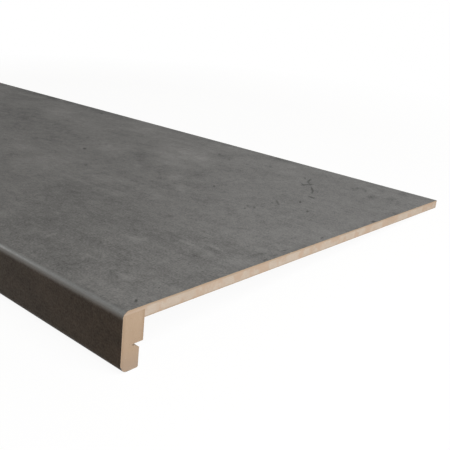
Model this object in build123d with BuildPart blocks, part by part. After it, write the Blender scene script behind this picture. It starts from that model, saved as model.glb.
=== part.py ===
"""Laminate-covered stair tread with a dropped nose, as it lies unheld on a level floor.

A fibreboard panel is rebated along the underside of its front edge, and a nose block is glued
up into the rebate. One concrete-look laminate covers the top, wraps round the nose and ends in
a shallow rebate under it, flush with the nose's foot. The underside, the back edge and the two
sawn ends are bare board. A tapered groove runs along the rear face of the nose.

Every piece is a constant section, drawn once and extruded over the tread's length. A section
point is (u, v): u runs back from the nose's front face, and v runs up from the nose's foot.
Left on a floor, the tread rests on its foot and on its back edge, so the section stands tilted
by the angle that those two edges set. The origin is on the floor under the middle of the part.
X runs along the tread, Y from front to back, Z up. Sizes are in millimetres.
"""

import os
from math import atan2, cos, sin

from build123d import *

# Outside of the tread, in the size it is sold in
tread_length = 1300.0
tread_depth = 600.0
nose_height = 56.0
top_radius = 6.0
bottom_radius = 8.0

# Panel and the laminate over it
laminate_thickness = 0.8
board_thickness = 10.5

# Rebate under the panel's front edge: the tongue that is left lies over the nose block
tongue_thickness = 3.0
nose_depth = 23.2

# Groove in the nose's rear face: a level roof, a short root, and a floor that falls to the lip
groove_roof_height = 23.8
groove_root_width = 1.2
groove_root_wall = 11.6
lip_height = 19.0
lip_depth = 19.3

# Foot of the nose: bare wood behind the laminate's end, with its rear corner eased
laminate_return = 16.0
foot_chamfer = 0.8

# Places that follow from the sizes above
board_top = nose_height - laminate_thickness
board_bottom = board_top - board_thickness
joint_height = board_top - tongue_thickness
groove_root_height = groove_roof_height - groove_root_width
foot_depth = lip_depth - foot_chamfer

# Rest on a floor: the foot's rear edge and the panel's lower back edge both touch it
rest_tilt = atan2(board_bottom, tread_depth - foot_depth)
foot_drop = foot_depth * sin(rest_tilt)
front_reach = bottom_radius * (cos(rest_tilt) + sin(rest_tilt) - 1)
back_reach = tread_depth * cos(rest_tilt) + nose_height * sin(rest_tilt)

section = Plane(
    origin=(-tread_length / 2, -(front_reach + back_reach) / 2, foot_drop),
    x_dir=(0, cos(rest_tilt), -sin(rest_tilt)),
    z_dir=(1, 0, 0),
)
from_front_foot = (Align.MIN, Align.MIN)

os.makedirs("parts", exist_ok=True)

# Section of the glued-up wood, panel and nose together, machined in one pass
with BuildSketch(section) as wood:
    with BuildLine():
        Polyline(
            (laminate_thickness, board_top),
            (tread_depth, board_top),
            (tread_depth, board_bottom),
            (nose_depth, board_bottom),
            (nose_depth, groove_roof_height),
            (groove_root_wall, groove_roof_height),
            (groove_root_wall, groove_root_height),
            (lip_depth, lip_height),
            (lip_depth, 0),
            (laminate_return, 0),
            (laminate_return, laminate_thickness),
            (laminate_thickness, laminate_thickness),
            close=True,
        )
    make_face()
    chamfer(vertices().group_by(Axis.Y)[0].sort_by(Axis.X)[-1], foot_chamfer)
    fillet(vertices().group_by(Axis.X)[0].sort_by(Axis.Y)[0], bottom_radius - laminate_thickness)
    fillet(vertices().group_by(Axis.Y)[-1].sort_by(Axis.X)[0], top_radius - laminate_thickness)

# Carrier board: the panel, with the rebate along the underside of its front edge
with BuildPart() as carrier_board:
    with BuildSketch(section):
        add(wood.sketch_local)
        Rectangle(nose_depth, joint_height, align=from_front_foot, mode=Mode.SUBTRACT)
    extrude(amount=tread_length)
carrier_board.part.label = "carrier_board"
export_step(carrier_board.part, "parts/carrier_board.step")

# Nose block: the strip glued up into the rebate, with the groove in its rear face
with BuildPart() as nose_block:
    with BuildSketch(section):
        add(wood.sketch_local)
        Rectangle(nose_depth, joint_height, align=from_front_foot, mode=Mode.INTERSECT)
    extrude(amount=tread_length)
nose_block.part.label = "nose_block"
export_step(nose_block.part, "parts/nose_block.step")

# Decor laminate: one sheet from the back edge over the top, round the nose and under its foot
with BuildPart() as decor_laminate:
    with BuildSketch(section):
        with BuildLine():
            walking_side = FilletPolyline(
                (laminate_return, 0),
                (0, 0),
                (0, nose_height),
                (tread_depth, nose_height),
                radius=[bottom_radius, top_radius],
            )
            offset(walking_side, amount=laminate_thickness, side=Side.RIGHT)
        make_face()
    extrude(amount=tread_length)
decor_laminate.part.label = "decor_laminate"
export_step(decor_laminate.part, "parts/decor_laminate.step")
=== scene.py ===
"""Looks of an overlay stair tread: concrete-look laminate round a fibreboard panel and nose.

The tread lies unheld on a pale floor, on the foot of its nose and on its back edge. Every piece
is a constant section swept along the tread, so each class below draws its section in millimetres
and turns it into a mesh. A section point is (u, v): u runs back from the nose's front face, and v
runs up from the nose's foot. X runs along the tread.

Each mesh keeps the place of its points in an attribute in millimetres, so that every pattern is
set out at its real size, and the print runs over the nose as the sheet does.
"""

import logging
import math
from dataclasses import dataclass
from enum import Enum

import bpy
from mathutils import Matrix, Vector


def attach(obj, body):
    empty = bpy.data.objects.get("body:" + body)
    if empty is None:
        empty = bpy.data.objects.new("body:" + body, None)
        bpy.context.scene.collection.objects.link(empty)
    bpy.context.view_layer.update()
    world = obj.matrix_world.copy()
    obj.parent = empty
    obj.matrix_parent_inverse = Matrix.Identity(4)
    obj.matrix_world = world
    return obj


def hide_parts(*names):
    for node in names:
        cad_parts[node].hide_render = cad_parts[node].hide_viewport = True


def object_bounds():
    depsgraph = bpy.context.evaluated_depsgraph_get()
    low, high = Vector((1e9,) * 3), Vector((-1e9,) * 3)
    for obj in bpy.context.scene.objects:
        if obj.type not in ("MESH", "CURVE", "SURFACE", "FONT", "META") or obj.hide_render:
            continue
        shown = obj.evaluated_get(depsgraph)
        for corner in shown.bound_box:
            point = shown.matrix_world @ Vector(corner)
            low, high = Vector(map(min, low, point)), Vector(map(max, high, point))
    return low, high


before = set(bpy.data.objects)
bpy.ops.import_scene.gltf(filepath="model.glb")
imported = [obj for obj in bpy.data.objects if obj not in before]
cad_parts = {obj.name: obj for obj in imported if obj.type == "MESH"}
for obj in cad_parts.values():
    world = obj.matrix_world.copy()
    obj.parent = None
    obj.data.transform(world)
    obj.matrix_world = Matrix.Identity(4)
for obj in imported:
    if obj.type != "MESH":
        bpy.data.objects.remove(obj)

CAD_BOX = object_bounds()
PLACE = "place_mm"
MM = 0.001
ARC_STEPS = 16
SHARP_ANGLE = math.radians(40.0)
# A face lies square on to an axis where their directions' product is above this
SQUARE_ON = 0.9
NOISE_MIDDLE = 0.5
# Half thickness of a mark in the print, so large that it doesn't fade through the sheet
ENDLESS_MM = 1e6

Point = tuple[float, float]
Range = tuple[float, float]
Material = bpy.types.Material
Object = bpy.types.Object
Tree = bpy.types.NodeTree
Node = bpy.types.Node
Socket = bpy.types.NodeSocket

log = logging.getLogger("stair_tread")


def linear(hex_colour: str) -> tuple[float, float, float, float]:
    """Turn an sRGB hex colour into linear light.

    Args:
        hex_colour: A colour such as "#6b6b69".

    Returns:
        Red, green, blue and an alpha of one.
    """
    channels = [int(hex_colour[at:at + 2], 16) / 255 for at in (1, 3, 5)]
    light = [c / 12.92 if c <= 0.04045 else ((c + 0.055) / 1.055) ** 2.4 for c in channels]
    return (light[0], light[1], light[2], 1.0)


def add_node(tree: Tree, kind: str, inputs: dict | None = None, **settings) -> Node:
    """Add one shader node.

    Args:
        tree: The tree that gets the node.
        kind: The node's type, without its "ShaderNode" prefix.
        inputs: Values by input name or number. A socket is linked, and a node by its first output.
        **settings: The node's own properties.

    Returns:
        The new node.
    """
    node = tree.nodes.new("ShaderNode" + kind)
    for name, value in settings.items():
        setattr(node, name, value)
    for name, value in (inputs or {}).items():
        if isinstance(value, Node):
            value = value.outputs[0]
        if isinstance(value, Socket):
            tree.links.new(value, node.inputs[name])
        else:
            node.inputs[name].default_value = value
    return node


def start_finish(name: str, roughness: float, ior: float) -> tuple[Material, Node, Socket]:
    """Start a finish for one of the tread's pieces.

    Args:
        name: Name of the material.
        roughness: Its roughness, where the finish doesn't vary it.
        ior: Its index of refraction.

    Returns:
        The material, its shader, and the place in its pattern in millimetres.
    """
    made = bpy.data.materials.new(name)
    made.use_nodes = True
    shader = made.node_tree.nodes["Principled BSDF"]
    shader.inputs["Roughness"].default_value = roughness
    shader.inputs["IOR"].default_value = ior
    return made, shader, add_node(made.node_tree, "Attribute", attribute_name=PLACE).outputs["Vector"]


def arc(centre: Point, radius: float, start: float, end: float) -> list[Point]:
    """Draw a round corner's points, with angles in degrees from +u towards +v, both ends included."""
    angles = [math.radians(start + (end - start) * step / ARC_STEPS) for step in range(ARC_STEPS + 1)]
    return [(centre[0] + radius * math.cos(a), centre[1] + radius * math.sin(a)) for a in angles]


@dataclass(frozen=True)
class TreadSection:
    """Sizes of the tread in millimetres, and the way its section lies in the frame."""

    depth: float = 600.0
    nose_height: float = 56.0
    top_radius: float = 6.0
    bottom_radius: float = 8.0
    laminate: float = 0.8
    board: float = 10.5
    tongue: float = 3.0
    nose_depth: float = 23.2
    groove_roof: float = 23.8
    groove_root: float = 1.2
    groove_wall: float = 11.6
    lip_height: float = 19.0
    lip_depth: float = 19.3
    laminate_return: float = 16.0
    foot_chamfer: float = 0.8

    @property
    def board_top(self) -> float:
        """Height of the panel's upper face."""
        return self.nose_height - self.laminate

    @property
    def board_bottom(self) -> float:
        """Height of the panel's underside."""
        return self.board_top - self.board

    @property
    def joint(self) -> float:
        """Height of the glue joint between the tongue and the nose block."""
        return self.board_top - self.tongue

    @property
    def foot_depth(self) -> float:
        """Depth of the edge on which the nose stands."""
        return self.lip_depth - self.foot_chamfer

    @property
    def top_centre(self) -> Point:
        """Centre of the nose's upper rounding."""
        return (self.top_radius, self.nose_height - self.top_radius)

    @property
    def foot_centre(self) -> Point:
        """Centre of the nose's lower rounding."""
        return (self.bottom_radius, self.bottom_radius)

    @property
    def joint_angle(self) -> float:
        """Angle in degrees at which the glue joint meets the board's upper rounding."""
        rise = (self.joint - self.top_centre[1]) / (self.top_radius - self.laminate)
        return 180.0 - math.degrees(math.asin(rise))

    @property
    def tilt(self) -> float:
        """Angle in radians by which the resting section leans back."""
        return math.atan2(self.board_bottom, self.depth - self.foot_depth)

    @property
    def back_axis(self) -> Vector:
        """Direction of u in the frame."""
        return Vector((0.0, math.cos(self.tilt), -math.sin(self.tilt)))

    @property
    def up_axis(self) -> Vector:
        """Direction of v in the frame."""
        return Vector((0.0, math.sin(self.tilt), math.cos(self.tilt)))

    @property
    def origin(self) -> Vector:
        """Find the section's zero point.

        Returns:
            Its place in the frame, in metres, at the tread's middle.
        """
        lean, rise = math.cos(self.tilt), math.sin(self.tilt)
        front = self.bottom_radius * (lean + rise - 1.0)
        back = self.depth * lean + self.nose_height * rise
        return Vector((0.0, -(front + back) / 2, self.foot_depth * rise)) * MM

    def place(self, x: float, point: Point) -> Vector:
        """Put a section point into the frame, at an X in metres along the tread."""
        across = self.back_axis * (point[0] * MM) + self.up_axis * (point[1] * MM)
        return self.origin + across + Vector((x, 0.0, 0.0))


SECTION = TreadSection()


def sweep(name: str, outline: list[Point], ends: Range, pattern: list[Point] | None = None) -> Object:
    """Sweep a closed section outline along the tread.

    Args:
        name: Name of the new piece.
        outline: The outline's corners in order, in section millimetres.
        ends: Lowest and highest X in metres.
        pattern: Where each corner lies in the material's own pattern, in millimetres. Without
            it, the pattern follows the section.

    Returns:
        The new piece. Its walls come first, in the outline's order, and then its two flat ends.
    """
    count = len(outline)
    places = [SECTION.place(x, point) for x in ends for point in outline]
    walls = [(at, (at + 1) % count, count + (at + 1) % count, count + at) for at in range(count)]
    caps = [tuple(reversed(range(count))), tuple(range(count, 2 * count))]
    mesh = bpy.data.meshes.new(name)
    mesh.from_pydata([tuple(place) for place in places], [], walls + caps)
    mesh.shade_smooth()
    mesh.set_sharp_from_angle(angle=SHARP_ANGLE)
    held = mesh.attributes.new(PLACE, "FLOAT_VECTOR", "POINT")
    for at, (x, point) in enumerate((x, point) for x in ends for point in (pattern or outline)):
        held.data[at].vector = (x / MM, point[0], point[1])
    piece = bpy.data.objects.new(name, mesh)
    bpy.context.scene.collection.objects.link(piece)
    return piece


@dataclass(frozen=True)
class Smudge:
    """One soft mark in the concrete print: a cloud, a trowel streak or a hairline crack.

    Its centre lies in millimetres from the tread's right end and from the nose's front face.
    A lift above zero is lighter than the print round it. The turn is in degrees.
    """

    from_end: float
    depth: float
    half_length: float
    half_width: float
    lift: float
    turn: float = 0.0


def smudges(*rows: tuple[float, ...]) -> tuple[Smudge, ...]:
    """Make one smudge from each row, which holds a Smudge's numbers in order."""
    return tuple(Smudge(*row) for row in rows)


@dataclass(frozen=True)
class PrintLayer:
    """One scale of the print's mottling: its size along and across the tread in millimetres.

    A layer with patches shows only in patches of about that size.
    """

    along: float
    across: float
    octaves: float
    contrast: float
    patches: float = 0.0


@dataclass(frozen=True)
class ConcretePrint:
    """Decor laminate: paper printed like trowelled concrete, pressed under matt melamine.

    Clouds from 15 to 250 mm and long faint trowel streaks keep the grey from looking flat. A few
    pores and hairlines give it scale. The press plate leaves a fine matt grain, so the face has
    a soft sheen and no clear reflection. Along the nose's upper edge the film is smoother and
    shinier, and a paler grey is painted there as a highlight, so that edge shows as a thin
    silvery line.

    The real grain is too fine to show, so it is drawn 1.1 mm coarse. Shine is the shader's
    specular level, where 0.5 is all that the IOR gives. Sizes are in millimetres, and a range
    gives the noise values between which something fades in.
    """

    name: str = "concrete_laminate"
    dark_cement: str = "#3d3d3c"
    light_cement: str = "#7b7b7a"
    pore: str = "#2e2c2a"
    roughness: float = 0.5
    roughness_swing: float = 0.06
    ior: float = 1.5
    shine: float = 0.06
    # Painted highlight: a paler grey painted along the nose's upper edge, and how much of it covers the
    # print there
    highlight_paint: str = "#838889"
    highlight_paint_cover: float = 0.75
    stretched_shine: float = 0.6
    stretched_roughness: float = 0.22
    bend_middle: float = -0.2
    bend_reach: float = 5.5
    plate_grain: float = 1.1
    grain_height: float = 0.03
    layers: tuple[PrintLayer, ...] = (
        PrintLayer(190.0, 130.0, 8.0, 0.24),
        PrintLayer(60.0, 34.0, 6.0, 0.4),
        PrintLayer(120.0, 5.0, 5.0, 0.28, patches=170.0),
        PrintLayer(40.0, 2.0, 4.0, 0.3, patches=120.0),
        PrintLayer(2.2, 45.0, 3.0, 0.3, patches=110.0),
        PrintLayer(16.0, 16.0, 4.0, 0.32),
        PrintLayer(7.0, 6.0, 5.0, 0.52),
        PrintLayer(2.0, 2.0, 2.0, 0.9),
    )
    layer_shift: tuple[float, float] = (17.3, 9.1)
    patch_range: Range = (0.42, 0.62)
    usual_tone: float = 0.485
    fineness: float = 0.6
    wisp: float = 34.0
    wisp_fineness: float = 0.68
    wisp_range: Range = (0.3, 0.7)
    wisp_most: float = 2.2
    wave: float = 28.0
    wave_reach: float = 26.0
    pore_spacing: float = 52.0
    pore_radius: float = 1.1
    pore_share: float = 0.25
    speck_spacing: float = 8.0
    speck_radius: float = 0.8
    speck_share: float = 0.45
    speck_groups: float = 55.0
    group_range: Range = (0.56, 0.68)
    group_most: float = 0.7
    full_depth_at: float = 0.4
    clouds: tuple[Smudge, ...] = smudges(
        (369, 444, 130, 70, 0.24, -53), (360, 464, 46, 22, 0.14, -52),
        (284, 334, 22, 14, 0.3, -58), (234, 301, 34, 12, 0.28, -46),
        (484, 378, 48, 22, 0.16, -43), (776, 481, 88, 44, 0.28, -43),
        (442, 229, 60, 46, 0.15, -57), (231, 251, 42, 16, 0.16, -45),
        (118, 114, 26, 18, 0.13, -59), (53, 49, 18, 12, 0.11, -46),
        (109, 50, 9, 7, 0.26, -43), (17, 56, 17, 13, 0.16, -57),
        (45, 70, 120, 62, 0.1, 20), (236, 558, 48, 24, 0.12, -65),
        (381, 580, 32, 16, 0.12, -58), (17, 309, 76, 38, 0.06, 66),
        (314, 246, 48, 30, 0.12, 71), (529, 235, 50, 36, 0.15, -45),
        (256, 49, 22, 14, 0.15, -30), (390, 369, 88, 24, -0.17, -42),
        (279, 378, 46, 26, -0.08, -70), (347, 517, 48, 22, -0.1, -56),
        (613, 387, 120, 56, -0.12, -40), (760, 396, 170, 60, -0.1, -34),
        (292, 152, 64, 48, -0.13, -58), (209, 82, 50, 22, -0.12, -35),
        (227, 53, 40, 26, -0.07, -32), (100, 22, 21, 19, -0.16, -54),
        (939, 576, 70, 40, -0.16, -48), (293, 316, 52, 12, -0.1, -44),
        (59, 132, 18, 14, -0.12, 72), (850, 592, 300, 36, -0.2),
        (710, 419, 100, 46, -0.1, -39), (578, 315, 56, 40, -0.1, -47),
        (286, 220, 36, 28, -0.12, -81), (295, 85, 40, 28, -0.12, -33),
        (174, 37, 28, 19, -0.14, 57), (102, 166, 32, 22, -0.1, 69),
        (86, 73, 26, 13, -0.16, -41), (11, 105, 20, 15, -0.18, 69),
        (282, 591, 54, 28, -0.08, 79), (437, 183, 34, 20, 0.18, -35),
        (405, 194, 32, 16, 0.14, -35), (444, 377, 76, 30, 0.14, -43),
        (365, 336, 60, 14, 0.14, -41), (578, 559, 128, 48, 0.12, -46),
        (128, 266, 80, 40, 0.08, -55), (211, 287, 34, 25, 0.1, -72),
        (12, 236, 24, 15, 0.12, 70), (11, 177, 30, 18, 0.12, 64),
        (19, 147, 23, 16, 0.1, -64), (13, 347, 30, 18, 0.12, 84),
        # Painted shade: the broad dark clouds at 1013 mm here and at 800 mm below darken the print towards
        # the left end, away from the lamps
        (40, 22, 70, 22, 0.14, 10), (1013, 552, 150, 84, -0.22, -42),
        (600, 493, 118, 45, -0.1, -43), (331, 418, 58, 36, -0.08, -61),
        (317, 579, 80, 30, -0.1, 70), (51, 28, 16, 11, -0.14, -42),
        (63, 492, 52, 26, -0.09, -73), (628, 362, 96, 40, -0.09, -37),
        (251, 149, 36, 15, -0.12, -38), (228, 96, 16, 12, 0.1, -39),
        (221, 535, 54, 25, 0.09, 72), (20, 54, 17, 14, 0.14, 67),
        (271, 265, 41, 19, 0.09, -46), (153, 500, 66, 24, -0.14, -60),
        (4, 473, 10, 6, -0.3, -78), (800, 430, 230, 90, -0.1, -38),
        (3, 44, 26, 14, 0.18, 60), (24, 20, 30, 14, 0.12),
        (340, 263, 30, 18, -0.1, -40), (355, 515, 60, 28, -0.09, -45),
        (276, 431, 46, 26, -0.08, -50), (212, 142, 36, 20, -0.09, -30),
        (117, 106, 22, 10, -0.09, -30), (252, 89, 40, 22, -0.08, -30),
        (346, 204, 46, 24, -0.09, -30), (564, 352, 80, 36, -0.09, -38),
        (16, 213, 30, 18, 0.12, 70), (153, 43, 26, 14, -0.09, -30),
        (291, 140, 34, 18, -0.08, -40), (750, 570, 130, 36, -0.08),
        (419, 589, 70, 20, -0.17), (545, 589, 60, 18, -0.12),
        (1160, 588, 170, 30, -0.24), (940, 588, 120, 24, -0.1),
        (546, 289, 66, 30, -0.1, -38), (765, 532, 84, 26, -0.09, -38),
        (330, 361, 50, 24, -0.09, -45), (407, 330, 46, 24, -0.09, -40),
        (671, 334, 90, 36, -0.09, -36), (538, 471, 66, 26, -0.09, -42),
        (901, 436, 140, 40, -0.09, -36), (797, 365, 100, 36, -0.08, -34),
        (266, 589, 40, 16, -0.12), (12, 56, 20, 13, 0.13, 50),
        (22, 74, 22, 12, 0.09, 50), (41, 241, 28, 16, 0.09, 70),
    )
    streaks: tuple[Smudge, ...] = smudges(
        (77, 155, 24, 4.4, 0.22, -1), (58, 170, 20, 4.0, 0.2, -2),
        (48, 152, 11, 6.0, 0.2, -13), (65, 121, 10, 8.0, 0.14, -73),
        (124, 118, 15, 7.0, 0.16, 1), (123, 90, 9, 8.0, 0.12, -69),
        (51, 46, 12, 6.0, 0.08, 22), (87, 123, 50, 7.0, 0.06),
        (13, 163, 26, 12, 0.15), (110, 51, 14, 2.4, 0.26),
        (175, 53, 17, 3.6, 0.2, -76), (234, 100, 15, 5.0, 0.16, 7),
        (150, 190, 60, 3.4, 0.12), (330, 205, 110, 8.0, 0.1),
        (605, 374, 40, 6.0, 0.16, -52), (422, 242, 13, 8.0, 0.14, 74),
        (360, 332, 20, 8.0, 0.14, -20), (483, 316, 15, 11, 0.14, -84),
        (109, 161, 22, 4.2, -0.14, -6), (51, 134, 13, 9.5, -0.2, 74),
        (53, 162, 14, 5.0, -0.22, -6), (154, 204, 10, 6.5, -0.16, 71),
        (105, 541, 20, 9.0, -0.14, -65), (94, 548, 18, 5.0, -0.18, -41),
        (63, 519, 18, 10, -0.15, -73), (72, 563, 23, 10, -0.17, -52),
        (43, 540, 18, 9.0, -0.16, -80), (47, 586, 18, 12, -0.18, -62),
        (31, 491, 18, 6.0, -0.08, -53),
    )
    cracks: tuple[Smudge, ...] = smudges(
        (180, 518, 10, 2.6, -0.4, -54), (169, 514, 18, 2.4, -0.65, -70),
        (156, 486, 17, 4.6, -0.5, 75), (161, 483, 15, 2.2, -0.4, -41),
        (159, 498, 12, 2.2, -0.4, -47), (137, 473, 15, 2.2, -0.9, -52),
        (127, 459, 13, 2.0, -0.6, -61), (124, 467, 10, 2.8, -0.2, -59),
        (112, 434, 9, 4.8, -0.7, -8), (106, 398, 7, 2.0, -0.8, -58),
        (76, 371, 6.5, 2.0, -0.8, -58), (105, 536, 9, 3.2, -0.25, -61),
        (104, 547, 7, 2.6, -0.2, -65), (66, 520, 7, 2.8, -0.2, -68),
        (71, 568, 8, 3.0, -0.2, -58), (40, 536, 7, 3.0, -0.25, -74),
        (3, 411, 6, 3.0, -0.9, -78), (16, 198, 9, 2.4, -0.22, 67),
        (5, 205, 6, 2.2, -0.4, 81), (8, 226, 6, 2.2, -0.4, 83),
        (3, 186, 5, 2.2, -0.4, 80), (7, 298, 5, 2.0, -0.7, -71),
        (128, 307, 6, 1.8, -0.5, -54), (124, 321, 8, 2.6, -0.4, -55),
        (134, 320, 7, 2.4, -0.35, -55), (18, 190, 5, 2.4, -0.35, 67),
        (125, 371, 8, 2.4, -0.35, -55), (125, 360, 6, 2.2, -0.35, -55),
        (119, 365, 14, 1.6, -0.4, -46), (220, 351, 6, 1.8, -0.7, -49),
        (396, 265, 10, 4.2, -0.35, -39), (482, 328, 10, 3.6, -0.95, -38),
        (551, 387, 12, 4.6, -0.3, -40), (494, 203, 13, 4.0, -0.2, -32),
        (493, 382, 11, 3.8, -0.3, -40), (586, 249, 12, 5.0, -0.2, -32),
        (355, 515, 11, 3.4, -0.4, -47), (322, 502, 11, 3.2, -0.3, -48),
        (256, 530, 11, 3.2, -0.3, -52), (86, 540, 8, 2.8, -0.2, -65),
        (153, 494, 10, 2.6, -0.3, -60), (10, 22, 3.4, 1.8, -1.0, -50),
        (59, 54, 4.0, 2.4, -0.22, -40), (67, 42, 4.0, 2.2, -0.22, -40),
        (76, 57, 4.4, 2.4, -0.2, -40), (131, 82, 6.0, 2.8, -0.15, -35),
        (142, 137, 7.0, 3.0, -0.18, -35), (149, 71, 6.0, 2.8, -0.18, -35),
        (744, 571, 9.0, 2.6, -1.0, -30),
    )

    def material(self) -> Material:
        """Make the finish.

        Returns:
            The material.
        """
        made, shader, place = start_finish(self.name, self.roughness, self.ior)
        tree = made.node_tree
        bend_band = self.bend(tree, place)
        shinier = {"Value": bend_band, "To Min": self.shine, "To Max": self.stretched_shine}
        shine = add_node(tree, "MapRange", shinier)
        # The export drops a link to this socket, so the socket also holds the flat faces' shine
        shader.inputs["Specular IOR Level"].default_value = self.shine
        tree.links.new(shine.outputs[0], shader.inputs["Specular IOR Level"])
        tone = self.tone(tree, place)
        greys = {"Fac": tone, "Color1": linear(self.dark_cement), "Color2": linear(self.light_cement)}
        cement = add_node(tree, "MixRGB", greys)
        holed = {"Fac": self.pores(tree, place), "Color1": cement, "Color2": linear(self.pore)}
        flat = add_node(tree, "MixRGB", holed)
        # Painted highlight: mix a paler grey into the print along the bend
        painted_highlight = add_node(tree, "Math", {0: bend_band, 1: self.highlight_paint_cover}, operation="MULTIPLY")
        highlighted = {"Fac": painted_highlight, "Color1": flat, "Color2": linear(self.highlight_paint)}
        tree.links.new(add_node(tree, "MixRGB", highlighted).outputs[0], shader.inputs["Base Color"])
        rougher, smoother = self.roughness + self.roughness_swing, self.roughness - self.roughness_swing
        matt = add_node(tree, "MapRange", {"Value": tone, "To Min": rougher, "To Max": smoother})
        glossier = {"Value": bend_band, "To Min": matt, "To Max": self.stretched_roughness}
        tree.links.new(add_node(tree, "MapRange", glossier).outputs[0], shader.inputs["Roughness"])
        plate = add_node(tree, "TexNoise", {"Vector": place, "Scale": 1 / self.plate_grain, "Detail": 3.0})
        grain = {"Strength": 1.0, "Distance": self.grain_height * MM, "Height": plate}
        tree.links.new(add_node(tree, "Bump", grain).outputs[0], shader.inputs["Normal"])
        return made

    def bend(self, tree: Tree, place: Socket) -> Node:
        """Find the band along the nose's upper edge that gets more gloss and a painted highlight.

        Args:
            tree: The material's tree.
            place: The place in the print, in millimetres.

        Returns:
            1 along the middle of the bend, fading to 0 on the flat faces.
        """
        depth = add_node(tree, "SeparateXYZ", {0: place}).outputs["Y"]
        off = add_node(tree, "Math", {0: depth, 1: self.bend_middle}, operation="SUBTRACT")
        away = add_node(tree, "Math", {0: off}, operation="ABSOLUTE")
        fading = {"Value": away, "From Max": self.bend_reach, "To Min": 1.0, "To Max": 0.0}
        return add_node(tree, "MapRange", fading, interpolation_type="SMOOTHSTEP")

    def tone(self, tree: Tree, place: Socket) -> Node:
        """Mix the layers and smudges of the print.

        Args:
            tree: The material's tree.
            place: The place in the print, in millimetres.

        Returns:
            The print's lightness, from 0 for the darkest cement to 1 for the lightest.
        """
        total: Node | float = self.usual_tone
        for number, layer in enumerate(self.layers, start=1):
            shift = (self.layer_shift[0] * number, self.layer_shift[1] * number, 0.0)
            size = (1 / layer.along, 1 / layer.across, 1.0)
            scaled = add_node(tree, "Mapping", {"Vector": place, "Location": shift, "Scale": size})
            mottling = {"Vector": scaled, "Scale": 1.0, "Detail": layer.octaves, "Roughness": self.fineness}
            noise = add_node(tree, "TexNoise", mottling, noise_dimensions="2D")
            mottle = add_node(tree, "Math", {0: noise, 1: NOISE_MIDDLE}, operation="SUBTRACT")
            if layer.patches:
                spread = {"Vector": place, "Scale": 1 / layer.patches, "Detail": 2.0}
                wide = add_node(tree, "TexNoise", spread)
                start, full = self.patch_range
                here = add_node(tree, "MapRange", {"Value": wide, "From Min": start, "From Max": full})
                mottle = add_node(tree, "Math", {0: mottle, 1: here}, operation="MULTIPLY")
            added = {0: mottle, 1: layer.contrast, 2: total}
            total = add_node(tree, "Math", added, operation="MULTIPLY_ADD")
        wisps = {"Vector": place, "Scale": 1 / self.wisp, "Detail": 7.0, "Roughness": self.wisp_fineness}
        start, full = self.wisp_range
        ragging = {"Value": add_node(tree, "TexNoise", wisps), "From Min": start, "From Max": full}
        ragged = add_node(tree, "MapRange", {**ragging, "To Max": self.wisp_most})
        for family, ruler in ((self.clouds, self.bent(tree, place)), (self.streaks, place)):
            lifted = {0: self.marks(tree, ruler, family), 1: ragged, 2: total}
            total = add_node(tree, "Math", lifted, operation="MULTIPLY_ADD")
        broken = {0: self.marks(tree, place, self.cracks), 1: total}
        return add_node(tree, "Math", broken, operation="ADD", use_clamp=True)

    def marks(self, tree: Tree, ruler: Node | Socket, family: tuple[Smudge, ...]) -> Node:
        """Add up one family of smudges.

        Args:
            tree: The material's tree.
            ruler: The place in the print, in millimetres.
            family: The smudges.

        Returns:
            How much they lighten the print, or darken it below zero.
        """
        total: Node | float = 0.0
        for smudge in family:
            fade = add_node(tree, "TexGradient", {"Vector": ruler}, gradient_type="SPHERICAL")
            own = fade.texture_mapping
            own.vector_type = "TEXTURE"
            own.translation = (CAD_BOX[1].x / MM - smudge.from_end, smudge.depth, 0.0)
            own.rotation = (0.0, 0.0, math.radians(smudge.turn))
            own.scale = (smudge.half_length, smudge.half_width, ENDLESS_MM)
            lifted = {0: fade.outputs["Fac"], 1: smudge.lift, 2: total}
            total = add_node(tree, "Math", lifted, operation="MULTIPLY_ADD")
        return total

    def bent(self, tree: Tree, place: Socket) -> Node:
        """Bend the print's ruler a little, so that no cloud is a plain ellipse.

        Args:
            tree: The material's tree.
            place: The place in the print, in millimetres.

        Returns:
            The bent place.
        """
        noise = add_node(tree, "TexNoise", {"Vector": place, "Scale": 1 / self.wave, "Detail": 3.0})
        middle = (NOISE_MIDDLE, NOISE_MIDDLE, NOISE_MIDDLE)
        off = add_node(tree, "VectorMath", {0: noise.outputs["Color"], 1: middle}, operation="SUBTRACT")
        pushed = {0: off, 1: (self.wave_reach, self.wave_reach, 0.0), 2: place}
        return add_node(tree, "VectorMath", pushed, operation="MULTIPLY_ADD")

    def pores(self, tree: Tree, place: Socket) -> Node:
        """Scatter the print's air holes: single pores, and finer specks in loose groups.

        Args:
            tree: The material's tree.
            place: The place in the print, in millimetres.

        Returns:
            How much of a hole shows, from 0 to 1.
        """
        found = []
        for spacing, radius, share in (
            (self.pore_spacing, self.pore_radius, self.pore_share),
            (self.speck_spacing, self.speck_radius, self.speck_share),
        ):
            spaced = {"Vector": place, "Scale": 1 / spacing}
            cells = add_node(tree, "TexVoronoi", spaced, voronoi_dimensions="2D")
            rim, floor = radius / spacing, self.full_depth_at * radius / spacing
            inside = {"Value": cells.outputs["Distance"], "From Min": rim, "From Max": floor}
            drawn = add_node(tree, "SeparateColor", {"Color": cells.outputs["Color"]})
            chosen = add_node(tree, "Math", {0: drawn, 1: share}, operation="LESS_THAN")
            hole = {0: add_node(tree, "MapRange", inside), 1: chosen}
            found.append(add_node(tree, "Math", hole, operation="MULTIPLY"))
        loose = {"Vector": place, "Scale": 1 / self.speck_groups, "Detail": 2.0}
        groups = add_node(tree, "TexNoise", loose)
        start, full = self.group_range
        grouping = {"Value": groups, "From Min": start, "From Max": full, "To Max": self.group_most}
        specks = {0: found[1], 1: add_node(tree, "MapRange", grouping)}
        both = {0: found[0], 1: add_node(tree, "Math", specks, operation="MULTIPLY")}
        return add_node(tree, "Math", both, operation="MAXIMUM")


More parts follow.
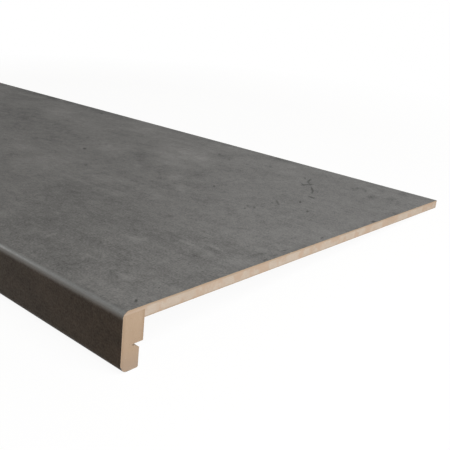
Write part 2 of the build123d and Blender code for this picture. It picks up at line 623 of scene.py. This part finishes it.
@dataclass(frozen=True)
class LaminateCore:
    """Cut edge of the laminate: tan resin-soaked kraft paper under the thin grey print.

    At the sawn ends it draws a fine tan line between the grey face and the paler board.
    """

    name: str = "laminate_cut_edge"
    kraft: str = "#b9a68d"
    dark_ply: str = "#9c8872"
    print_grey: str = "#5c5c5b"
    print_depth: float = 0.1
    ply: float = 0.22
    ply_contrast: float = 0.2
    fibre: float = 0.9
    dark_range: Range = (0.45, 0.95)
    dark_most: float = 0.6
    roughness: float = 0.7
    ior: float = 1.5

    def material(self) -> Material:
        """Make the finish.

        Returns:
            The material.
        """
        made, shader, place = start_finish(self.name, self.roughness, self.ior)
        tree = made.node_tree
        into = add_node(tree, "SeparateXYZ", {0: place}).outputs["Z"]
        turns = add_node(tree, "Math", {0: into, 1: math.tau / self.ply}, operation="MULTIPLY")
        plies = add_node(tree, "Math", {0: turns}, operation="SINE")
        fibre = add_node(tree, "TexNoise", {"Vector": place, "Scale": 1 / self.fibre, "Detail": 3.0})
        mixed = add_node(tree, "Math", {0: plies, 1: self.ply_contrast, 2: fibre}, operation="MULTIPLY_ADD")
        start, full = self.dark_range
        darker = {"Value": mixed, "From Min": start, "From Max": full, "To Max": self.dark_most}
        dark = add_node(tree, "MapRange", darker)
        papers = {"Fac": dark, "Color1": linear(self.kraft), "Color2": linear(self.dark_ply)}
        kraft = add_node(tree, "MixRGB", papers)
        printed = add_node(tree, "Math", {0: into, 1: self.print_depth}, operation="LESS_THAN")
        layered = {"Fac": printed, "Color1": kraft, "Color2": linear(self.print_grey)}
        tree.links.new(add_node(tree, "MixRGB", layered).outputs[0], shader.inputs["Base Color"])
        return made


class Through(Enum):
    """Way through a pressed board, face to face: along u in the nose, and along v in the panel."""

    U = "Y"
    V = "Z"


@dataclass(frozen=True)
class SawnFibreboard:
    """Sawn and routed fibreboard: dull fawn felt of wood fibre, packed denser near its faces.

    The denser skins are darker. Short fibres lie flat in the board, so they show as fine level
    flecks, and the saw leaves faint upright scratches. The panel's edge is also a little patchy.
    The foot of the nose is greyed with painted shade, darkest next to the floor. Single fibres
    are too fine to show, so bundles 0.45 mm thick are drawn. Sizes are in millimetres.
    """

    name: str
    core: str
    skin: str
    through: Through
    middle: float
    half: float
    core_share: float = 0.62
    skin_most: float = 0.8
    fibre_length: float = 3.0
    fibre_width: float = 0.45
    cloud: float = 17.0
    dark_range: Range = (0.75, 1.3)
    dark_most: float = 0.5
    fleck: str = "#d6c8b6"
    fleck_range: Range = (0.36, 0.26)
    fleck_most: float = 0.7
    resin: str = "#8a7259"
    resin_spacing: float = 2.6
    resin_radius: float = 0.4
    resin_core: float = 0.3
    resin_share: float = 0.35
    resin_most: float = 0.6
    # Painted shade at the nose's foot: its grey, mottle size, strength and height
    foot_shade_grey: str = "#98928e"
    foot_shade_mottle: float = 1.6
    foot_shade_most: float = 0.55
    shaded_below: float = 0.0
    warm_patch: str = "#bda68e"
    patch_size: float = 24.0
    patch_range: Range = (0.49, 0.57)
    patchiness: float = 0.0
    three_scratches: float = 1.4
    scratch_lean: float = 12.0
    scratch_depth: float = 0.35
    roughness: float = 0.9
    ior: float = 1.45
    fibre_height: float = 0.08

    def material(self) -> Material:
        """Make the finish.

        Returns:
            The material.
        """
        made, shader, place = start_finish(self.name, self.roughness, self.ior)
        tree = made.node_tree
        apart = add_node(tree, "SeparateXYZ", {0: place})
        skin = self.skins(tree, apart.outputs[self.through.value])
        flat, thin = 1 / self.fibre_length, 1 / self.fibre_width
        lie = (flat, thin, flat) if self.through is Through.U else (flat, flat, thin)
        laid = add_node(tree, "Mapping", {"Vector": place, "Scale": lie})
        fibre = add_node(tree, "TexNoise", {"Vector": laid, "Scale": 1.0, "Detail": 4.0, "Roughness": 0.6})
        cloud = add_node(tree, "TexNoise", {"Vector": place, "Scale": 1 / self.cloud, "Detail": 3.0})
        shade = add_node(tree, "Math", {0: fibre, 1: cloud}, operation="ADD")
        start, full = self.dark_range
        darker = {"Value": shade, "From Min": start, "From Max": full, "To Max": self.dark_most}
        dark = add_node(tree, "MapRange", darker)
        packed = add_node(tree, "Math", {0: skin, 1: dark}, operation="ADD", use_clamp=True)
        felted = {"Fac": packed, "Color1": linear(self.core), "Color2": linear(self.skin)}
        colour = add_node(tree, "MixRGB", felted)
        start, full = self.fleck_range
        flecks = {"Value": fibre, "From Min": start, "From Max": full, "To Max": self.fleck_most}
        marks = [(add_node(tree, "MapRange", flecks), self.fleck), (self.specks(tree, place), self.resin)]
        if self.patchiness:
            marks.append((self.patches(tree, place), self.warm_patch))
        # Painted shade: grey darkening at the foot of the nose, next to the floor
        if self.shaded_below:
            marks.append((self.shaded_foot(tree, place, apart.outputs["Z"]), self.foot_shade_grey))
        for share, tint in marks:
            colour = add_node(tree, "MixRGB", {"Fac": share, "Color1": colour, "Color2": linear(tint)})
        tree.links.new(colour.outputs[0], shader.inputs["Base Color"])
        self.roughen(tree, place, fibre)
        return made

    def skins(self, tree: Tree, height: Socket) -> Node:
        """Find the board's dense skins.

        Args:
            tree: The material's tree.
            height: The place through the board, in millimetres.

        Returns:
            0 in the core, rising to skin_most at both faces.
        """
        centred = add_node(tree, "Math", {0: height, 1: self.middle}, operation="SUBTRACT")
        out = add_node(tree, "Math", {0: centred}, operation="ABSOLUTE")
        inner = self.half * self.core_share
        rising = {"Value": out, "From Min": inner, "From Max": self.half, "To Max": self.skin_most}
        return add_node(tree, "MapRange", rising, interpolation_type="SMOOTHSTEP")

    def specks(self, tree: Tree, place: Socket) -> Node:
        """Scatter dark resin specks over a share of the board's cells.

        Args:
            tree: The material's tree.
            place: The place in the section, in millimetres.

        Returns:
            How much resin shows, from 0 to resin_most.
        """
        cells = add_node(tree, "TexVoronoi", {"Vector": place, "Scale": 1 / self.resin_spacing})
        rim = self.resin_radius / self.resin_spacing
        spot = {"Value": cells.outputs["Distance"], "From Min": rim, "From Max": self.resin_core * rim}
        shown = add_node(tree, "MapRange", {**spot, "To Max": self.resin_most})
        drawn = add_node(tree, "SeparateColor", {"Color": cells.outputs["Color"]})
        chosen = add_node(tree, "Math", {0: drawn, 1: self.resin_share}, operation="LESS_THAN")
        return add_node(tree, "Math", {0: shown, 1: chosen}, operation="MULTIPLY")

    def patches(self, tree: Tree, place: Socket) -> Node:
        """Find the board's warmer patches.

        Args:
            tree: The material's tree.
            place: The place in the section, in millimetres.

        Returns:
            How warm the board is, from 0 to patchiness.
        """
        slow = {"Vector": place, "Scale": 1 / self.patch_size, "Detail": 4.0, "Roughness": 0.6}
        start, full = self.patch_range
        warm = {"Value": add_node(tree, "TexNoise", slow), "From Min": start, "From Max": full}
        return add_node(tree, "MapRange", {**warm, "To Max": self.patchiness})

    def shaded_foot(self, tree: Tree, place: Socket, height: Socket) -> Node:
        """Paint shade into the foot of the nose, darkest next to the floor.

        Args:
            tree: The material's tree.
            place: The place in the section, in millimetres.
            height: The height over the foot, in millimetres.

        Returns:
            How much painted shade shows.
        """
        shade_mottle = add_node(tree, "TexNoise", {"Vector": place, "Scale": 1 / self.foot_shade_mottle, "Detail": 2.0})
        fading = {"Value": height, "From Min": self.shaded_below, "From Max": 0.0, "To Max": self.foot_shade_most}
        low = add_node(tree, "MapRange", fading)
        return add_node(tree, "Math", {0: shade_mottle, 1: low}, operation="MULTIPLY")

    def roughen(self, tree: Tree, place: Socket, fibre: Node) -> None:
        """Raise the fibres and cut the saw's scratches.

        Args:
            tree: The material's tree.
            place: The place in the section, in millimetres.
            fibre: The fibre pattern.
        """
        lean = (math.radians(self.scratch_lean), 0.0, 0.0)
        upright = add_node(tree, "Mapping", {"Vector": place, "Rotation": lean})
        # The wave draws about three bands in each unit of its scale
        bands = {"Vector": upright, "Scale": 1 / self.three_scratches, "Distortion": 1.5, "Detail": 2.0}
        saw = add_node(tree, "TexWave", bands, bands_direction="Y").outputs["Fac"]
        height = add_node(tree, "Math", {0: saw, 1: self.scratch_depth, 2: fibre}, operation="MULTIPLY_ADD")
        raised = {"Strength": 1.0, "Distance": self.fibre_height * MM, "Height": height}
        bump = add_node(tree, "Bump", raised)
        tree.links.new(bump.outputs[0], tree.nodes["Principled BSDF"].inputs["Normal"])


@dataclass(frozen=True)
class PressedFibreboard:
    """Pressed and sanded face of fibreboard: smooth brown fibre with fine sanding lines.

    The real lines are too fine to show, so they are drawn 0.5 mm wide. Sizes are in millimetres,
    and a range counts from the noise's usual value.
    """

    name: str
    brown: str = "#b69d82"
    dark_fibre: str = "#967c62"
    pale_fibre: str = "#cdb89f"
    felt: float = 3.5
    cloud: float = 60.0
    cloudiness: float = 0.35
    dark_range: Range = (-0.08, 0.28)
    dark_most: float = 0.8
    pale_range: Range = (-0.04, -0.28)
    pale_most: float = 0.6
    roughness: float = 0.72
    ior: float = 1.5
    sanding_length: float = 90.0
    sanding_width: float = 0.5
    sanding_height: float = 0.02

    def material(self) -> Material:
        """Make the finish.

        Returns:
            The material.
        """
        made, shader, place = start_finish(self.name, self.roughness, self.ior)
        tree = made.node_tree
        felt = {"Vector": place, "Scale": 1 / self.felt, "Detail": 5.0, "Roughness": 0.7}
        cloud = add_node(tree, "TexNoise", {"Vector": place, "Scale": 1 / self.cloud, "Detail": 4.0})
        weighted = {0: cloud, 1: self.cloudiness, 2: add_node(tree, "TexNoise", felt)}
        both = add_node(tree, "Math", weighted, operation="MULTIPLY_ADD")
        usual = NOISE_MIDDLE + NOISE_MIDDLE * self.cloudiness
        colour: Node | tuple[float, ...] = linear(self.brown)
        for tint, (start, full), most in (
            (self.dark_fibre, self.dark_range, self.dark_most),
            (self.pale_fibre, self.pale_range, self.pale_most),
        ):
            fading = {"Value": both, "From Min": usual + start, "From Max": usual + full, "To Max": most}
            share = add_node(tree, "MapRange", fading)
            colour = add_node(tree, "MixRGB", {"Fac": share, "Color1": colour, "Color2": linear(tint)})
        tree.links.new(colour.outputs[0], shader.inputs["Base Color"])
        fine = (1 / self.sanding_length, 1 / self.sanding_width, 1 / self.sanding_width)
        drawn = add_node(tree, "Mapping", {"Vector": place, "Scale": fine})
        lines = add_node(tree, "TexNoise", {"Vector": drawn, "Scale": 1.0, "Detail": 2.0})
        sanded = {"Strength": 1.0, "Distance": self.sanding_height * MM, "Height": lines}
        tree.links.new(add_node(tree, "Bump", sanded).outputs[0], shader.inputs["Normal"])
        return made


def dress(piece: Object, node: str, slot: str, *materials: Material) -> Object:
    """Give a piece its finishes and its place in the frame.

    Args:
        piece: The piece.
        node: The frame's node that it stands for.
        slot: The record's material slot that it takes; not used.
        *materials: Its finishes, the main one first.

    Returns:
        The same piece.
    """
    for material in materials:
        piece.data.materials.append(material)
    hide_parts(node)
    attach(piece, "root")
    return piece


@dataclass
class CarrierBoard:
    """The fibreboard panel, with the rebate under its front edge."""

    node: str = "carrier_board"
    slot: str = "panel_fibreboard"

    def outline(self) -> list[Point]:
        """Draw the panel's section.

        Returns:
            Its corners in order, in section millimetres.
        """
        s = SECTION
        return [
            *reversed(arc(s.top_centre, s.top_radius - s.laminate, s.joint_angle, 90.0)),
            (s.nose_depth, s.joint),
            (s.nose_depth, s.board_bottom),
            (s.depth, s.board_bottom),
            (s.depth, s.board_top),
        ]

    def build(self, ends: Range) -> Object:
        """Make and dress the panel.

        Args:
            ends: Lowest and highest X in metres.

        Returns:
            The panel.
        """
        s = SECTION
        middle, half = (s.board_top + s.board_bottom) / 2, s.board / 2
        sawn = SawnFibreboard(
            "panel_sawn_edge", "#ccc4b7", "#b3a48f", Through.V, middle, half, patchiness=0.55
        )
        pressed = PressedFibreboard("panel_pressed_face")
        panel = sweep("panel", self.outline(), ends)
        dress(panel, self.node, self.slot, sawn.material(), pressed.material())
        for face in panel.data.polygons:
            if abs(face.normal.dot(s.up_axis)) > SQUARE_ON:
                face.material_index = 1
        return panel


@dataclass
class NoseBlock:
    """The fibreboard strip glued up into the rebate, with the groove in its rear face."""

    node: str = "nose_block"
    slot: str = "nose_fibreboard"

    def outline(self) -> list[Point]:
        """Draw the block's section.

        Returns:
            Its corners in order, in section millimetres.
        """
        s = SECTION
        return [
            *arc(s.top_centre, s.top_radius - s.laminate, s.joint_angle, 180.0),
            *arc(s.foot_centre, s.bottom_radius - s.laminate, 180.0, 270.0),
            (s.laminate_return, s.laminate),
            (s.laminate_return, 0.0),
            (s.foot_depth, 0.0),
            (s.lip_depth, s.foot_chamfer),
            (s.lip_depth, s.lip_height),
            (s.groove_wall, s.groove_roof - s.groove_root),
            (s.groove_wall, s.groove_roof),
            (s.nose_depth, s.groove_roof),
            (s.nose_depth, s.joint),
        ]

    def build(self, ends: Range) -> Object:
        """Make and dress the block.

        Args:
            ends: Lowest and highest X in metres.

        Returns:
            The block.
        """
        half = SECTION.nose_depth / 2
        # The block's lowest 20 mm get painted shade, darkest next to the floor
        sawn = SawnFibreboard(
            "nose_sawn_edge", "#bba992", "#ad9982", Through.U, half, half, shaded_below=20.0
        )
        block = sweep("nose", self.outline(), ends)
        return dress(block, self.node, self.slot, sawn.material())


@dataclass
class DecorLaminate:
    """The laminate sheet over the panel, round the nose and under its foot."""

    node: str = "decor_laminate"
    slot: str = "laminate"

    def face(self, inset: float) -> list[Point]:
        """Draw one face of the sheet, from its end under the foot to the back edge.

        Args:
            inset: Distance from the outer face, in millimetres.

        Returns:
            The points along that face.
        """
        s = SECTION
        return [
            (s.laminate_return, inset),
            *reversed(arc(s.foot_centre, s.bottom_radius - inset, 180.0, 270.0)),
            *reversed(arc(s.top_centre, s.top_radius - inset, 90.0, 180.0)),
            (s.depth, s.nose_height - inset),
        ]

    def unrolled(self) -> list[float]:
        """Lay the sheet flat.

        Returns:
            For each point of a face, how far it lies from the nose's front along the sheet. It is
            measured from the back edge.
        """
        points = self.face(0.0)
        depths = [SECTION.depth]
        for here, before in zip(reversed(points[:-1]), reversed(points[1:])):
            depths.append(depths[-1] - math.dist(here, before))
        return list(reversed(depths))

    def build(self, ends: Range) -> Object:
        """Make and dress the sheet.

        Args:
            ends: Lowest and highest X in metres.

        Returns:
            The sheet.
        """
        flat = self.unrolled()
        outline = [*reversed(self.face(0.0)), *self.face(SECTION.laminate)]
        pattern = [(depth, 0.0) for depth in reversed(flat)] + [(depth, SECTION.laminate) for depth in flat]
        sheet = sweep("laminate_sheet", outline, ends, pattern)
        dress(sheet, self.node, self.slot, ConcretePrint().material(), LaminateCore().material())
        cut_walls = (len(flat) - 1, 2 * len(flat) - 1)
        for face in sheet.data.polygons:
            if face.index in cut_walls or abs(face.normal.x) > SQUARE_ON:
                face.material_index = 1
        return sheet


def seen_light(tree: Tree) -> Node:
    """Pick out the light that the eye and reflections see.

    Args:
        tree: The tree of a floor or a world.

    Returns:
        1 for camera and glossy rays, and 0 for the light that falls on things.
    """
    path = add_node(tree, "LightPath")
    seen = {0: path.outputs["Is Camera Ray"], 1: path.outputs["Is Glossy Ray"]}
    return add_node(tree, "Math", seen, operation="MAXIMUM")


@dataclass
class Floor:
    """The pale floor that the tread lies on.

    The eye and reflections see it white, with a soft shadow that fades out round the tread.
    Light that bounces from it onto the tread is weak and warm, as from a dim room. Sizes are in
    metres.
    """

    half_width: float = 40.0
    seen_white: str = "#ffffff"
    bounce: str = "#8a5a2c"
    glow_near: float = 0.94
    shadow_reach: Range = (0.75, 1.3)

    def build(self) -> Object:
        """Make the floor.

        Returns:
            The floor.
        """
        w = self.half_width
        mesh = bpy.data.meshes.new("floor")
        mesh.from_pydata([(-w, -w, 0), (w, -w, 0), (w, w, 0), (-w, w, 0)], [], [(0, 1, 2, 3)])
        floor = bpy.data.objects.new("floor", mesh)
        bpy.context.scene.collection.objects.link(floor)
        mesh.materials.append(self.material())
        return floor

    def material(self) -> Material:
        """Make the floor's finish.

        Returns:
            The material.
        """
        made = bpy.data.materials.new("floor_paint")
        made.use_nodes = True
        tree = made.node_tree
        tree.nodes.clear()
        seen = seen_light(tree)
        where = add_node(tree, "NewGeometry").outputs["Position"]
        far = add_node(tree, "VectorMath", {0: where}, operation="LENGTH").outputs["Value"]
        near, away = self.shadow_reach
        share = {"Value": far, "From Min": near, "From Max": away, "To Min": self.glow_near}
        lit = add_node(tree, "BsdfDiffuse", {"Color": linear(self.seen_white)})
        glow = add_node(tree, "Emission", {"Color": linear(self.seen_white), "Strength": 1.0})
        white = add_node(tree, "MixShader", {0: add_node(tree, "MapRange", share), 1: lit, 2: glow})
        dim = add_node(tree, "BsdfDiffuse", {"Color": linear(self.bounce)})
        mixed = add_node(tree, "MixShader", {0: seen, 1: dim, 2: white})
        add_node(tree, "OutputMaterial", {"Surface": mixed})
        return made


@dataclass
class SoftBox:
    """One square studio lamp, with its place, target and side in metres."""

    name: str
    place: Vector
    target: Vector
    side: float
    watts: float
    tint: str = "#ffffff"

    def build(self) -> Object:
        """Make the lamp, facing its target.

        Returns:
            The lamp.
        """
        lamp = bpy.data.lights.new(self.name, "AREA")
        lamp.shape = "SQUARE"
        lamp.size = self.side
        lamp.energy = self.watts
        lamp.color = linear(self.tint)[:3]
        made = bpy.data.objects.new(self.name, lamp)
        made.location = self.place
        made.rotation_euler = (self.target - self.place).to_track_quat("-Z", "Y").to_euler()
        bpy.context.scene.collection.objects.link(made)
        return made


def studio(left: float, right: float) -> tuple[SoftBox, ...]:
    """Set out the lamps: three wide ones round the sawn end, and two weak ones along the nose.

    Args:
        left: X of the tread's left end, in metres.
        right: X of its right end.

    Returns:
        The lamps.
    """
    near_end = right - 0.2
    top = Vector((near_end, 0.0, 0.0))
    nose = Vector((near_end, CAD_BOX[0].y, 0.05))
    left_end = Vector((left, 0.0, 0.03))
    key_place = Vector((right + 0.82, -0.12, 0.95))
    return (
        SoftBox("key_softbox", key_place, top, side=0.9, watts=20.0, tint="#fbfcff"),
        SoftBox("rear_softbox", Vector((right - 0.65, 1.15, 0.72)), top, side=0.9, watts=2.3),
        SoftBox("fill_softbox", Vector((right + 1.1, 1.7, 0.6)), top, side=0.9, watts=9.0),
        SoftBox("left_softbox", left_end + Vector((-0.9, 0.0, 0.09)), left_end, side=0.3, watts=5.0),
        SoftBox("edge_softbox", Vector((right - 1.33, -0.71, 0.51)), nose, side=0.45, watts=1.35),
    )


@dataclass
class RoomLight:
    """The dim light of the room round the tread, which the eye and reflections see as white."""

    level: float = 0.122
    tint: str = "#ffdc8e"
    seen_white: str = "#ffffff"

    def build(self) -> None:
        """Make the world."""
        world = bpy.data.worlds.new("room")
        world.use_nodes = True
        bpy.context.scene.world = world
        tree = world.node_tree
        tree.nodes.clear()
        seen = seen_light(tree)
        dim = add_node(tree, "Background", {"Color": linear(self.tint), "Strength": self.level})
        white = add_node(tree, "Background", {"Color": linear(self.seen_white), "Strength": 1.0})
        mixed = add_node(tree, "MixShader", {0: seen, 1: dim, 2: white})
        add_node(tree, "OutputWorld", {"Surface": mixed})


@dataclass
class PhotoCamera:
    """The camera, at the photograph's place beside the tread's right end.

    Its place is in metres, its angles in degrees, and its lens and sensor in millimetres.
    """

    beside_end: float = 0.33962
    ahead: float = -0.58222
    height: float = 0.30882
    heading: float = 40.167
    pitch: float = 21.651
    roll: float = 3.115
    lens: float = 51.008
    sensor_width: float = 36.0

    def build(self, right_end: float) -> Object:
        """Make the camera.

        Args:
            right_end: X of the tread's right end, in metres.

        Returns:
            The camera.
        """
        data = bpy.data.cameras.new("photo_camera")
        data.lens = self.lens
        data.sensor_width = self.sensor_width
        camera = bpy.data.objects.new("photo_camera", data)
        turn = (
            Matrix.Rotation(math.radians(self.heading), 4, "Z")
            @ Matrix.Rotation(math.radians(90.0 - self.pitch), 4, "X")
            @ Matrix.Rotation(math.radians(self.roll), 4, "Z")
        )
        place = Matrix.Translation((right_end + self.beside_end, self.ahead, self.height))
        camera.matrix_world = place @ turn
        bpy.context.scene.collection.objects.link(camera)
        bpy.context.scene.camera = camera
        return camera


def main() -> None:
    """Build the tread, the studio and the camera, and report each piece."""
    logging.basicConfig(level=logging.INFO, format="%(name)s: %(message)s")
    left, right = CAD_BOX[0].x, CAD_BOX[1].x
    for part in (CarrierBoard(), NoseBlock(), DecorLaminate()):
        piece = part.build((left, right))
        log.info("%s stands for %s, %d faces", piece.name, part.node, len(piece.data.polygons))
    Floor().build()
    RoomLight().build()
    for lamp in studio(left, right):
        lamp.build()
    PhotoCamera().build(right)
    bpy.context.scene.view_settings.view_transform = "Standard"


if __name__ == "__main__":
    main()
